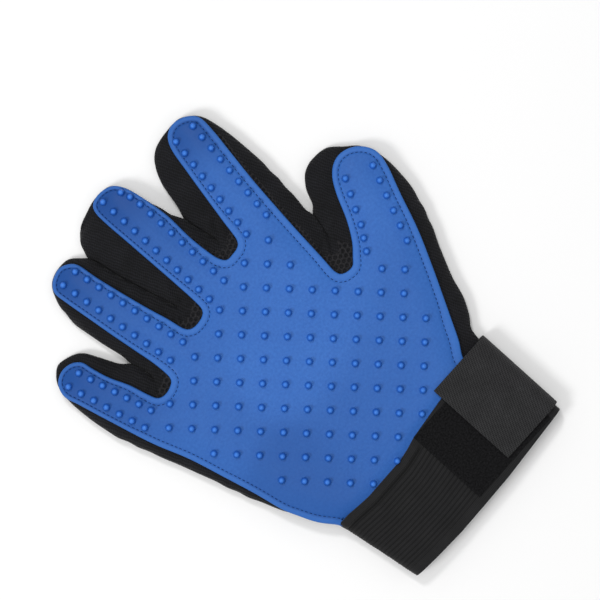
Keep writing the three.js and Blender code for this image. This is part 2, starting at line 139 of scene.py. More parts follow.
MIDDLE = [
    (-29.5, 45.5, -28, 60.2), (-24.5, 45.4, -27.6, 60.2), (-20.5, 47, -27.3, 61),
    (-19.1, 51.5, -28.4, 65.5), (-19, 67, -30.9, 74.5), (-19.3, 85, -34.6, 89.5),
    (-19.6, 100, -37.3, 104.5), (-19.9, 113, -37.4, 112), (-19.4, 120.5, -34.6, 117.8),
    (-17, 124.3, -26, 123), (-12, 125.6, -16, 125.3), (-6.3, 124.6, -7, 125),
    (-2.3, 121.6, -2.5, 121.9), (0.6, 115, 0.7, 115), (2.5, 104.5, 2.9, 103), (3.7, 92, 5.3, 92.5),
    (3.2, 77, 7.3, 82), (3.8, 66, 8.7, 74), (4.8, 59.5, 9.7, 68.5),
]
INDEX = [
    (7, 55.7, 10.4, 66.8), (11, 55.4, 10.8, 66.6), (15.3, 56, 11.2, 67), (18, 59, 11.3, 68.8),
    (20.2, 70, 10, 74.5), (23.3, 85, 8.8, 82), (26.5, 100, 12.3, 101), (29.2, 112, 16.8, 112),
    (32.3, 118.2, 22.5, 118.3), (36.5, 121, 30, 121), (41.5, 121.3, 40, 121.7),
    (47.2, 118.7, 47.4, 118.9), (51, 113.5, 52, 113), (50.6, 104, 54.6, 103), (48.2, 89, 55.6, 88),
    (45.6, 73, 55.2, 72), (43.6, 57, 54, 57), (41.7, 40, 52, 42), (40, 22, 50.9, 35),
]
THUMB = [
    (39, 11.5, 50.2, 31), (41, 7.8, 50.5, 30.2), (46.5, 6.8, 50.9, 30.2), (50.5, 10, 51.5, 31.4),
    (56, 15.5, 52.9, 36.5), (62, 24.5, 57, 43), (68, 36.5, 60.7, 50.5), (73, 44, 66.5, 56),
    (78.5, 48.2, 74, 58), (84.5, 49.3, 82, 56.3), (91, 47, 90, 49.3), (95.8, 42, 95.6, 42.2),
    (97.8, 35.5, 97.9, 34), (95.8, 27, 98, 24), (90, 13.5, 96, 10.5),
]
THUMB_SIDE = [
    (82.5, -5, 91, -4), (74, -22, 83.5, -19.5), (66, -37, 76.5, -34), (59.5, -49, 71, -48.5),
    (54.8, -57.5, 64.3, -57.5), (50, -64.5, 62, -65), (49, -70, 61.5, -71),
]
STATIONS = LITTLE_SIDE + LITTLE + RING + MIDDLE + INDEX + THUMB + THUMB_SIDE

# The rubber's lower edge, hidden under the cuff's rolled seam, from the thumb side to the other.
PAD_HEEL = [(44, -72.5), (28, -73.2), (3, -76), (-8, -78), (-35, -78.6)]

# Each fingertip, and how far the glove droops there.
TIPS = {
    "little": ((-88.5, 80), 4.2),
    "ring": ((-54, 115), 4.2),
    "middle": ((-11, 125.5), 3.8),
    "index": ((40.5, 121.5), 3.4),
    "thumb": ((93, 47), 3.6),
}


# ---- Curves and fields ----


def smooth(t):
    t = np.clip(t, 0, 1)
    return t * t * (3 - 2 * t)


def spline(points, step):
    """A Catmull-Rom curve through points, with about one sample per step of length."""
    p = np.array(points, float)
    ends = np.vstack([2 * p[0] - p[1], p, 2 * p[-1] - p[-2]])
    out = []
    for i in range(len(p) - 1):
        a, b, c, d = ends[i : i + 4]
        count = max(1, int(round(np.linalg.norm(p[i + 1] - p[i]) / step)))
        for t in np.arange(count) / count:
            bend = (2 * a - 5 * b + 4 * c - d) * t * t + (3 * b - a - 3 * c + d) * t**3
            out.append(0.5 * (2 * b + (c - a) * t + bend))
    return np.array(out + [p[-1]])


def normals_of(line):
    """Outward unit normals of an open line that runs clockwise round the glove."""
    d = np.gradient(line, axis=0)
    d /= np.linalg.norm(d, axis=1)[:, None]
    return np.stack([-d[:, 1], d[:, 0]], 1)


def travelled(line):
    """The distance along a line to each of its points."""
    return np.concatenate([[0], np.cumsum(np.linalg.norm(np.diff(line, axis=0), axis=1))])


def points_at(line, at):
    """The places on a line that lie some distance along it."""
    s = travelled(line)
    return np.stack([np.interp(at, s, line[:, k]) for k in range(line.shape[1])], -1)


def resample(line, step):
    """Points evenly spaced along a line, about a step apart."""
    length = travelled(line)[-1]
    return points_at(line, np.linspace(0, length, int(length / step) + 1))


def line_at(line, x):
    """A line's y at some x, where the line is a list of points from left to right."""
    points = np.array(line, float)
    return np.interp(x, points[:, 0], points[:, 1])


def bell(x, middle, width):
    """1 at the middle, falling smoothly to 0 on both sides."""
    return np.exp(-(((x - middle) / width) ** 2))


def edge_distance(points, line):
    """Distance from each point to a line, given as close points."""
    out = np.empty(len(points))
    for i in range(0, len(points), 500):
        block = points[i : i + 500]
        d = ((block[:, None, :] - line[None, :, :]) ** 2).sum(2)
        out[i : i + 500] = np.sqrt(d.min(1))
    return out


def crease(finger):
    """A finger's hinge: a point on it, the direction along the finger and the direction across it."""
    joint = JOINT[BODY[finger]]
    across = np.array(joint["axis"][:2]) / np.linalg.norm(joint["axis"][:2])
    return np.array(joint["pos_m"][:2]) / MM, np.array([-across[1], across[0]]), across


def droop(points):
    """How much lower the glove lies near its fingertips."""
    total = np.zeros(len(points))
    for finger, (tip, depth) in TIPS.items():
        _, along, across = crease(finger)
        rel = points[:, :2] - np.array(tip)
        near = np.abs(rel @ across) < 24
        reach = (rel @ along + DROOP_REACH) / DROOP_REACH
        total += np.where(near, depth * np.clip(reach, 0, 1.1) ** 2.2, 0)
    return total


def ripple(points):
    """Gentle unevenness of a soft sheet, at hand-sized wavelengths."""
    x, y = points[:, 0], points[:, 1]
    waves = np.sin(x / 17 + 1.3 * np.sin(y / 29)) * np.sin(y / 21 + 0.7)
    return 0.28 * waves + 0.12 * np.sin(x / 7.3 + y / 11 + 2)


def pad_height(points, inset):
    """Upper face of the rubber before its rim is rounded."""
    fall = EDGE_FALL["depth"] * (1 - smooth(inset / EDGE_FALL["reach"])) ** 1.5
    past = points[:, 1] - line_at(SEAM_LINE, points[:, 0]) + 2
    heel = HEEL_FALL["depth"] * (1 - smooth(past / HEEL_FALL["reach"]))
    return PAD_TOP - fall - heel - droop(points) + ripple(points)


def spread(points, places, reach):
    """Blends the values given at a few places over all points."""
    places = np.array(places, float)
    away = ((points[:, None, :2] - places[None, :, :2]) ** 2).sum(2)
    weight = np.exp(-away / reach**2) + 1e-9
    return (weight * places[:, 2]).sum(1) / weight.sum(1)


def seam_inset(points):
    """How far in from the rubber's edge its seam runs near each point."""
    return spread(points, SEAM_INSETS, 16)


STATION_CURVE = spline(STATIONS, STEP)
PAD_EDGE = STATION_CURVE[:, :2]
FOLD = STATION_CURVE[:, 2:]
HEEL = spline(np.vstack([PAD_EDGE[-1:], PAD_HEEL, PAD_EDGE[:1]]), 2)
PAD_OUTLINE = resample(np.vstack([PAD_EDGE, HEEL[1:]]), STEP)
EDGE_LINE = resample(PAD_EDGE, 0.5)


# ---- Meshes ----


def make(name, vertices, faces, material, body=None, uv=None, values=None):
    """A smooth-shaded mesh object from points in millimetres, with its plan or the given places as UVs."""
    mesh = bpy.data.meshes.new(name)
    v = np.asarray(vertices, float)
    mesh.from_pydata((v * MM).tolist(), [], [tuple(int(i) for i in f) for f in faces])
    plan = v[:, :2] if uv is None else np.asarray(uv, float)
    layer = mesh.uv_layers.new(name="plan")
    corners = np.zeros(len(mesh.loops), np.int32)
    mesh.loops.foreach_get("vertex_index", corners)
    layer.data.foreach_set("uv", (plan[corners] * UV_UNIT).astype(np.float32).ravel())
    for key, data in (values or {}).items():
        attribute = mesh.attributes.new(key, "FLOAT", "POINT")
        attribute.data.foreach_set("value", np.asarray(data, np.float32))
    mesh.polygons.foreach_set("use_smooth", [True] * len(mesh.polygons))
    mesh.materials.append(material)
    mesh.update()
    obj = bpy.data.objects.new(name, mesh)
    bpy.context.scene.collection.objects.link(obj)
    if body:
        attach(obj, body)
    return obj


def bend_with(obj):
    """Bakes a finger piece's placement into its mesh."""
    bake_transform(obj)


def owners_of(centres):
    """The finger that each point belongs to, as an index into FINGERS, or -1 for the palm."""
    owner = np.full(len(centres), -1)
    for i, finger in enumerate(FINGERS):
        outline = np.array(FINGER_ZONES[finger], float)
        owner[inside(centres, outline)] = i
    return owner


def inside(points, outline):
    """Which points lie inside a closed outline."""
    odd = np.zeros(len(points), bool)
    x, y = points[:, 0], points[:, 1]
    for (ax, ay), (bx, by) in zip(outline, np.roll(outline, -1, axis=0)):
        if ay == by:
            continue
        crosses = ((ay > y) != (by > y)) & (x < ax + (y - ay) / (by - ay) * (bx - ax))
        odd ^= crosses
    return odd


def finger_zone(finger, left, right, sides):
    """The plan region past a crease that reaches left and right of its hinge, bounded by sides elsewhere."""
    at, along, across = crease(finger)
    start = at + BEND_START * along
    return [tuple(start - left * across), *sides, tuple(start + right * across)]


FAR = 170
# The line between each two neighbouring fingers, from their crotch out past their tips.
LITTLE_RING = [(-65.3, 61.5), (-69.3, 74), (-75, 100), (-78, FAR)]
RING_MIDDLE = [(-31.6, 74), (-35.3, 89), (-38, 104), (-39.4, 111), (-41, 125), (-41, FAR)]
MIDDLE_INDEX = [(9.4, 74), (8, 81.8), (7.3, 92), (8, 102), (9, FAR)]
THUMB_LINE = [(52, 37), (53.6, 43), (58, 62), (75, 75), (120, 60), (130, -12)]
FINGER_ZONES = {
    "little": finger_zone("little", 30, 19.6, [(-130, 60), (-110, FAR), *LITTLE_RING[::-1], (-63, 53)]),
    "ring": finger_zone("ring", 18, 17.6, LITTLE_RING + RING_MIDDLE[::-1]),
    "middle": finger_zone("middle", 20.5, 19.2, RING_MIDDLE + MIDDLE_INDEX[::-1]),
    "index": finger_zone("index", 21.6, 38, [*MIDDLE_INDEX, (70, FAR)]),
    "thumb": finger_zone("thumb", 26.9, 40, THUMB_LINE),
}


def split_and_ride(name, vertices, faces, material, values=None, normals=True, owner=None):
    """Cuts a mesh at the creases into a piece for the palm and each finger, keeping its shading unbroken."""
    v = np.asarray(vertices, float)
    f = [list(face) for face in faces]
    if owner is None:
        owner = owners_of(np.array([v[face, :2].mean(0) for face in f]))
    shade = vertex_normals(v, f) if normals else None
    made = {}
    for i, finger in enumerate((*FINGERS, "palm")):
        mine = [face for face, o in zip(f, owner) if o == (i if finger != "palm" else -1)]
        if not mine:
            continue
        used = np.unique(np.concatenate([np.array(face) for face in mine]))
        index = {int(old): new for new, old in enumerate(used)}
        part = [[index[int(k)] for k in face] for face in mine]
        part_values = {key: np.asarray(data)[used] for key, data in (values or {}).items()}
        obj = make(f"{finger}_{name}", v[used], part, material, None, values=part_values)
        if normals:
            obj.data.normals_split_custom_set_from_vertices(shade[used].tolist())
        if finger == "palm":
            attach(obj, "palm")
        else:
            bend_with(obj)
        made[finger] = obj
    return made


def vertex_normals(v, faces):
    """Area-weighted vertex normals of a whole mesh."""
    total = np.zeros_like(v)
    for size in {len(face) for face in faces}:
        f = np.array([face for face in faces if len(face) == size])
        a, b = v[f[:, 1]] - v[f[:, 0]], v[f[:, -1]] - v[f[:, 0]]
        if size == 4:
            a, b = v[f[:, 2]] - v[f[:, 0]], v[f[:, 3]] - v[f[:, 1]]
        n = np.cross(a, b)
        for k in range(size):
            np.add.at(total, f[:, k], n)
    return total / np.maximum(np.linalg.norm(total, axis=1), 1e-12)[:, None]


def grid_faces(rows, columns):
    """Quads of a grid of points, stored row by row."""
    faces = []
    for a in range(0, (rows - 1) * columns, columns):
        faces += [[a + k, a + columns + k, a + columns + k + 1, a + k + 1] for k in range(columns - 1)]
    return faces


def ring_faces(first, rings, count, flip=False):
    """Quads between closed rings of points, stored ring by ring from point number first."""
    faces = []
    for a in range(first, first + (rings - 1) * count, count):
        for k in range(count):
            j = (k + 1) % count
            quad = [a + k, a + count + k, a + count + j, a + j]
            faces.append([quad[0], *quad[:0:-1]] if flip else quad)
    return faces


def lid(first, count):
    """One face over a ring of points."""
    return list(range(first, first + count))


# ---- Materials ----


def feed(tree, socket, value):
    """Links a node's output to a socket, or sets the socket to a number, a vector or a colour."""
    if isinstance(value, bpy.types.NodeSocket):
        tree.links.new(value, socket)
    elif socket.type == "RGBA":
        socket.default_value = (*value, 1)
    else:
        socket.default_value = value


def add(tree, kind, **inputs):
    """A new node, with each of the named inputs linked or set."""
    node = tree.nodes.new(kind)
    for name, value in inputs.items():
        feed(tree, node.inputs[name], value)
    return node


def shader(name, color, roughness, specular, sheen=0.0):
    """A new material, its node tree and its Principled shader."""
    material = bpy.data.materials.new(name)
    material.use_nodes = True
    tree = material.node_tree
    principled = tree.nodes["Principled BSDF"]
    feed(tree, principled.inputs["Base Color"], color)
    principled.inputs["Roughness"].default_value = roughness
    principled.inputs["Specular IOR Level"].default_value = specular
    principled.inputs["Sheen Weight"].default_value = sheen
    principled.inputs["Sheen Roughness"].default_value = 0.5
    return material, tree, principled


def plan_coordinates(tree, turn=0.0):
    """Plan UVs, in units of 100 mm, turned by some degrees."""
    source = add(tree, "ShaderNodeUVMap")
    source.uv_map = "plan"
    turned = (0, 0, math.radians(turn))
    return add(tree, "ShaderNodeMapping", Vector=source.outputs["UV"], Rotation=turned).outputs["Vector"]


def noise(tree, vector, scale, detail):
    return add(tree, "ShaderNodeTexNoise", Vector=vector, Scale=scale, Detail=detail).outputs["Fac"]


def ramp(tree, value, *stops):
    """Colours blended between two stops, each given as (position, colour)."""
    node = add(tree, "ShaderNodeValToRGB", Fac=value)
    for element, (position, color) in zip(node.color_ramp.elements, stops):
        element.position = position
        element.color = (*color, 1)
    return node.outputs["Color"]


def math_node(tree, operation, *values):
    node = add(tree, "ShaderNodeMath")
    node.operation = operation
    for socket, value in zip(node.inputs, values):
        feed(tree, socket, value)
    return node.outputs[0]


def mix_color(tree, factor, a, b, blend="MIX"):
    node = add(tree, "ShaderNodeMix")
    node.data_type = "RGBA"
    node.blend_type = blend
    for socket, value in zip((node.inputs[0], node.inputs[6], node.inputs[7]), (factor, a, b)):
        feed(tree, socket, value)
    return node.outputs[2]


def bump(tree, principled, height, strength, distance):
    node = add(tree, "ShaderNodeBump", Height=height, Strength=strength, Distance=distance)
    feed(tree, principled.inputs["Normal"], node.outputs["Normal"])


def attribute(tree, name):
    node = add(tree, "ShaderNodeAttribute")
    node.attribute_name = name
    return node.outputs["Fac"]


BLUE = (0.036, 0.142, 0.475)
BLUE_DEEP = (0.029, 0.122, 0.43)
BLUE_RIM = (0.040, 0.155, 0.50)
# Painted shade: the darkest blue, mixed in towards the fingertips, the little finger and the heel.
BLUE_PAINTED_SHADE = (0.010, 0.062, 0.255)
BLUE_NUB = (0.019, 0.112, 0.50)
# Painted highlight: a lighter blue for the tops of the nubs.
BLUE_PAINTED_HIGHLIGHT = (0.066, 0.245, 0.74)
BLUE_SCUFF = (0.08, 0.22, 0.56)


def rubber_material():
    """Matt moulded rubber: cloudy blue, a fine grain, scuffs, glossier nubs, painted shade towards the
    fingertips, the little finger and the heel, and painted highlights on the nubs' tops.
    """
    material, tree, principled = shader("blue_rubber", BLUE, 0.42, 0.14)
    plan = plan_coordinates(tree)
    nub = attribute(tree, "nub")
    cloudy = ramp(tree, noise(tree, plan, 3.5, 4), (0.3, BLUE_DEEP), (0.7, BLUE))
    mottle = ramp(tree, noise(tree, plan, 70, 6), (0.3, (0.86, 0.88, 0.91)), (0.7, (1.12, 1.09, 1.06)))
    scuffs = ramp(tree, noise(tree, plan, 38, 8), (0.66, (0, 0, 0)), (0.78, (1, 1, 1)))
    color = mix_color(tree, 0.4, cloudy, BLUE)
    color = mix_color(tree, 1.0, color, mottle, "MULTIPLY")
    color = mix_color(tree, math_node(tree, "MULTIPLY", scuffs, 0.22), color, BLUE_SCUFF)
    # Painted shade: darker blue where the glove droops at the fingertips, and towards the little finger and
    # the heel.
    color = mix_color(tree, attribute(tree, "painted_shade"), color, BLUE_PAINTED_SHADE)
    color = mix_color(tree, math_node(tree, "MULTIPLY", attribute(tree, "rim"), 0.55), color, BLUE_RIM)
    color = mix_color(tree, nub, color, BLUE_NUB)
    # Painted highlight: lighter blue on the top of each nub.
    color = mix_color(tree, attribute(tree, "painted_highlight"), color, BLUE_PAINTED_HIGHLIGHT)
    feed(tree, principled.inputs["Base Color"], color)
    rough = math_node(tree, "MULTIPLY_ADD", noise(tree, plan, 25, 3), 0.14, 0.38)
    gloss = math_node(tree, "MULTIPLY", nub, 0.16)
    feed(tree, principled.inputs["Roughness"], math_node(tree, "SUBTRACT", rough, gloss))
    bump(tree, principled, noise(tree, plan, 160, 2), 0.25, 0.2 * MM)
    return material


def thread_material():
    material, tree, principled = shader("navy_thread", (0.007, 0.024, 0.11), 0.8, 0.1)
    yarn = noise(tree, plan_coordinates(tree), 90, 3)
    shade = ramp(tree, yarn, (0.3, (0.004, 0.014, 0.07)), (0.7, (0.011, 0.034, 0.14)))
    feed(tree, principled.inputs["Base Color"], shade)
    return material


WAVE_SCALE = 10 * math.pi  # gives a wave texture a period of 1 mm on the plan's UVs


def wave(tree, vector, period, wander):
    """Bands that repeat every period, in millimetres, and wander off straight."""
    scale = WAVE_SCALE / period
    node = add(tree, "ShaderNodeTexWave", Vector=vector, Scale=scale, Distortion=wander, Detail=1)
    return node.outputs["Fac"]


def woven(name, dark, light, pitch, turn, cross, depth, mottle, wander=0.8, groove=None):
    """Cloth with fine ribs crossed by finer yarns, cloudy variation and, if named, painted shade in its
    grooves.
    """
    material, tree, principled = shader(name, light, 0.8, 0.2, 0.05)
    plan = plan_coordinates(tree)
    ribs = wave(tree, plan_coordinates(tree, turn), pitch, wander)
    yarns = wave(tree, plan_coordinates(tree, turn + 78), pitch * 0.7, wander)
    height = math_node(tree, "MULTIPLY_ADD", yarns, cross, ribs)
    level = math_node(tree, "DIVIDE", height, 1 + cross)
    fuzz = math_node(tree, "MULTIPLY", noise(tree, plan, 75, 4), 0.42)
    level = math_node(tree, "MULTIPLY_ADD", level, 0.62, fuzz)
    cloth = ramp(tree, level, (0.15, dark), (0.85, light))
    shade = ramp(tree, noise(tree, plan, 9, 5), (0.3, (1 - mottle,) * 3), (0.7, (1, 1, 1)))
    color = mix_color(tree, 1.0, cloth, shade, "MULTIPLY")
    if groove:
        # Painted shade: darker where the named attribute marks the grooves.
        color = mix_color(tree, attribute(tree, groove), color, tuple(0.3 * c for c in dark))
    feed(tree, principled.inputs["Base Color"], color)
    bump(tree, principled, height, 0.8, depth * MM)
    return material


def mesh_cloth_material():
    """Coarse air mesh: grey strands, and near black in its holes."""
    material, tree, principled = shader("air_mesh", (0.01, 0.01, 0.012), 0.85, 0.25, 0.05)
    yarn = noise(tree, plan_coordinates(tree), 120, 2)
    strands = ramp(tree, yarn, (0.3, (0.006, 0.006, 0.0075)), (0.75, (0.023, 0.0215, 0.024)))
    color = mix_color(tree, attribute(tree, "pit"), strands, (0.0008, 0.0008, 0.001))
    feed(tree, principled.inputs["Base Color"], color)
    bump(tree, principled, yarn, 0.6, 0.3 * MM)
    return material


def pile_material():
    """The loop patch's matted pile."""
    material, tree, principled = shader("loop_pile", (0.006, 0.006, 0.006), 1.0, 0.1, 0.04)
    fuzz = noise(tree, plan_coordinates(tree), 110, 6)
    shade = ramp(tree, fuzz, (0.35, (0.003, 0.003, 0.0033)), (0.7, (0.012, 0.012, 0.013)))
    feed(tree, principled.inputs["Base Color"], shade)
    bump(tree, principled, fuzz, 1.0, 0.8 * MM)
    return material


RUBBER = rubber_material()
THREAD = thread_material()
KNIT = woven(
    "black_knit", (0.0004, 0.0004, 0.0008), (0.0125, 0.0128, 0.0165),
    pitch=1.4, turn=-22, cross=0.7, depth=0.3, mottle=0.5, wander=3.6,
)
MESH_CLOTH = mesh_cloth_material()
ELASTIC = woven(
    "cuff_elastic", (0.006, 0.006, 0.0065), (0.018, 0.018, 0.019),
    pitch=0.8, turn=90, cross=0.4, depth=0.12, mottle=0.25, groove="groove",
)
WEBBING = woven(
    "strap_webbing", (0.004, 0.004, 0.0045), (0.043, 0.043, 0.045),
    pitch=1.25, turn=28, cross=1.0, depth=0.25, mottle=0.3, wander=0.9,
)
PILE = pile_material()
HOOKS = woven(
    "hook_tape", (0.003, 0.003, 0.003), (0.016, 0.016, 0.016),
    pitch=1.2, turn=45, cross=0.6, depth=0.4, mottle=0.1,
)


# ---- Rubber pad ----

# The rubber's rounded wall: [inset from its edge, height from its upper face].
WALL = [(0.55, -PAD_THICK), (0.08, -PAD_THICK + 0.2), (0, -0.95), (0.08, -0.5), (0.3, -0.16), (0.6, 0)]
# The raised rim inside it and the groove for the stitches: [share of the seam's inset, height].
BAND = [(0.35, 0.12), (0.6, 0.1), (0.78, 0.04), (0.9, -0.16), (1, -0.3), (1.1, -0.18), (1.22, 0), (1.4, 0)]


def inset_ring(line, distance):
    """The closed outline moved inward and kept smooth."""
    d = np.roll(line, -1, axis=0) - np.roll(line, 1, axis=0)
    d /= np.linalg.norm(d, axis=1)[:, None]
    inward = np.stack([d[:, 1], -d[:, 0]], 1)
    return line + distance * inward


def nub_places():
    """Nub centres, read from the tops of the frame's pads, where each nub has a ring of points."""
    points = []
    for name in (*FINGERS, "palm"):
        mesh = frame["nodes"][f"{name}_pad"].data
        co = np.array([v.co for v in mesh.vertices]) / MM
        top = co[co[:, 2] > co[:, 2].max() - 0.05]
        while len(top):
            near = np.linalg.norm(top[:, :2] - top[0, :2], axis=1) < 3
            points.append(np.unique(top[near].round(3), axis=0)[:, :2].mean(0))
            top = top[~near]
    return np.array(points)


def interior_points(outline, pitch):
    """A hexagonal scatter inside an outline that keeps clear of its edge."""
    low, high = outline.min(0), outline.max(0)
    rows = np.arange(low[1], high[1], pitch * 0.866)
    columns = np.arange(low[0], high[0], pitch)
    points = np.array([(x + (i % 2) * pitch / 2, y) for i, y in enumerate(rows) for x in columns])
    points = points[inside(points, outline)]
    return points[edge_distance(points, outline) > pitch * 0.6]


def filled(outline, pitch):
    """A triangle mesh that fills an outline: all its points, the outline's own first, and its triangles."""
    points = np.vstack([outline, interior_points(outline, pitch)])
    n = len(outline)
    edges = [(k, (k + 1) % n) for k in range(n)]
    out, _, triangles, origin, _, _ = delaunay_2d_cdt([Vector(p) for p in points], edges, [], 0, 1e-4)
    flat = np.array([list(p) for p in out])
    faces = np.array([list(t) for t in triangles if len(t) == 3])
    faces = faces[inside(flat[faces].mean(1), outline)]
    number = np.full(len(flat), -1)
    for i, source in enumerate(origin):
        rim = [o for o in source if o < n]
        number[i] = rim[0] if rim else -1
    rest = np.flatnonzero(number < 0)
    number[rest] = n + np.arange(len(rest))
    return np.vstack([outline, flat[rest]]), number[faces]


def pad_sheet():
    """The moulded sheet, as points, faces and how much each point is part of its rim."""
    n = len(PAD_OUTLINE) - 1
    edge = PAD_OUTLINE[:n]
    seam = seam_inset(edge)
    insets = [np.full(n, inset) for inset, _ in WALL] + [np.maximum(share * seam, 0.8) for share, _ in BAND]
    rings = [inset_ring(edge, inset[:, None]) for inset in insets]
    faces = ring_faces(0, len(rings), n)
    inner, triangles = filled(rings[-1], 2.4)
    plan = np.vstack([*rings[:-1], inner])
    first = (len(rings) - 1) * n
    faces += (triangles + first).tolist()
    inset = edge_distance(plan, EDGE_LINE)
    ring_inset = np.concatenate([*insets, np.full(len(inner) - n, 99.0)])
    level = [up for _, up in WALL + BAND]
    rise = np.concatenate([*[np.full(n, up) for up in level], np.zeros(len(inner) - n)])
    # The heel has no rim: it runs flat under the cuff.
    beside = 1 - smooth((inset - ring_inset - 0.4) / 2)
    rise = np.where(rise < -0.4, rise, rise * beside)
    share = inset / seam_inset(plan)
    rim = (1 - smooth((share - 0.55) / 0.35)) * beside
    return np.column_stack([plan, pad_height(plan, inset) + rise]), faces, rim


def nub_mesh(place, first):
    """One nub that flares out of the sheet, as points, faces and each point's height above the sheet."""
    angles = 2 * np.pi * np.arange(NUB_SEGMENTS) / NUB_SEGMENTS
    circle = np.stack([np.cos(angles), np.sin(angles)], 1)
    inset = edge_distance(place[None, :], EDGE_LINE)
    ground = pad_height(place[None, :], inset)[0]
    points, up = [], []
    for radius, rise in NUB_PROFILE:
        ring = place + radius * circle
        own = pad_height(ring, edge_distance(ring, EDGE_LINE))
        share = min(1.0, max(0.0, rise / 1.5))
        points.append(np.column_stack([ring, (1 - share) * own + share * ground + rise]))
        up.append(np.full(NUB_SEGMENTS, rise))
    rings = len(NUB_PROFILE)
    faces = ring_faces(first, rings, NUB_SEGMENTS, flip=True)
    faces.append(lid(first + (rings - 1) * NUB_SEGMENTS, NUB_SEGMENTS))
    return np.vstack(points), faces, np.concatenate(up)


def build_pad():
    """The rubber with its nubs, one piece for the palm and one for each finger."""
    vertices, faces, rim = pad_sheet()
    parts, ups = [vertices], [np.zeros(len(vertices))]
    count = len(vertices)
    for place in nub_places():
        points, more, up = nub_mesh(place, count)
        parts.append(points)
        ups.append(up)
        faces += more
        count += len(points)
    vertices, up = np.vstack(parts), np.concatenate(ups)
    values = {
        "rim": np.concatenate([rim, np.zeros(count - len(rim))]),
        "nub": smooth(up / 1.4),
        # Painted highlight on each nub's top.
        "painted_highlight": 0.6 * smooth((up - 2.2) / 0.8),
        # Painted shade, darker near the fingertips, the little finger and the heel.
        "painted_shade": spread(vertices, PAINTED_SHADE_PLACES, 20),
    }
    made = split_and_ride("rubber", vertices, faces, RUBBER, values)
    for name, obj in made.items():
        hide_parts(f"{name}_pad")


def stitch_mesh(points, height):
    """Separate short threads along a line, each a little capsule that dips at both ends."""
    vertices, faces = [], []
    sides, pitch = STITCH["sides"], STITCH["pitch"]
    s = travelled(points)
    for start in np.arange(pitch / 2, s[-1] - pitch / 2, pitch):
        at, ahead = points_at(points, start), points_at(points, start + 0.5)
        d = (ahead - at) / np.linalg.norm(ahead - at)
        side = np.array([-d[1], d[0]])
        z = np.interp(start, s, height)
        first = len(vertices)
        for along, girth, dip in STITCH_OUTLINE:
            for k in range(sides):
                a = 2 * math.pi * k / sides
                r = STITCH["radius"] * girth
                p = at + along * STITCH["length"] * d + r * math.cos(a) * side
                vertices.append((p[0], p[1], z + dip + r * math.sin(a)))
        rings = len(STITCH_OUTLINE)
        faces += ring_faces(first, rings, sides, flip=True)
        faces += [lid(first, sides)[::-1], lid(first + (rings - 1) * sides, sides)]
    return np.array(vertices), faces


def build_stitches():
    line = resample(PAD_EDGE - seam_inset(PAD_EDGE)[:, None] * normals_of(PAD_EDGE), 0.6)[3:-6]
    height = pad_height(line, edge_distance(line, EDGE_LINE)) - STITCH["sunk"]
    vertices, faces = stitch_mesh(line, height)
    split_and_ride("stitching", vertices, faces, THREAD, normals=False)


# ---- Cloth shell ----


TOUCHING = 2.6  # folds closer than this lie against each other


def closing(fold, outward):
    """Where two fingers lie side by side: how far each fold bulges to meet its neighbour, and how high."""
    n = len(fold)
    bulge, high = np.zeros(n), np.zeros(n)
    order = np.arange(n)
    for i in range(n):
        ahead = (fold - fold[i]) @ outward[i]
        facing = (outward @ outward[i] < -0.3) & (ahead > 0) & (np.abs(order - i) > 2)
        gap = np.where(facing, np.linalg.norm(fold - fold[i], axis=1), 99)
        other = int(np.argmin(gap))
        near = 1 - smooth((gap[other] - TOUCHING) / 1.2)
        bulge[i] = near * (gap[other] / 2 + 0.3)
        high[i] = near * (1.0 if i < other else -1.0)
    kernel = np.hanning(11) / np.hanning(11).sum()
    return np.convolve(bulge, kernel, "same"), np.convolve(high, kernel, "same")


# The bottom of each crotch, how far its folds reach and how deep they are: [x, y, reach, depth].
CROTCHES = [(-62.2, 41, 20, 0.6), (-27.8, 56, 24, 0.7), (10.6, 64, 22, 0.65), (49, 27, 26, 0.5)]


def pucker(points):
    """Folds that fan out from the bottom of each crotch."""
    total = np.zeros(len(points))
    for k, (x, y, reach, depth) in enumerate(CROTCHES):
        rel = points[:, :2] - np.array([x, y])
        distance = np.hypot(*rel.T)
        angle = np.arctan2(rel[:, 1], rel[:, 0])
        fan = np.sin(angle * 7 + 1.2 * np.sin(distance / 3 + k))
        fan += 0.5 * np.sin(angle * 13 + distance / 4 + k)
        total += depth * fan * smooth((distance - 1) / 4) * (1 - smooth((distance - 5) / (reach - 5)))
    return total


# How the side strip falls from the rubber's edge to its outer fold: [share of the way, share of the drop].
SLOPE = [(0, 0), (0.3, 0.08), (0.62, 0.26), (0.88, 0.6), (1, 1)]
# How it turns in under the fold: [distance in from the fold, share of the fold's height].
TUCK = [(0.25, 0.62), (1.3, 0.26), (3.2, 0.14), (6.0, 0.14)]


def strip_heights(edge, fold):
    """The side strip's height at the rubber's edge and at its outer fold."""
    under = pad_height(edge, np.zeros(len(edge))) - PAD_THICK - SHEET_GAP
    return under, FOLD_HEIGHT - 0.45 * droop(fold)


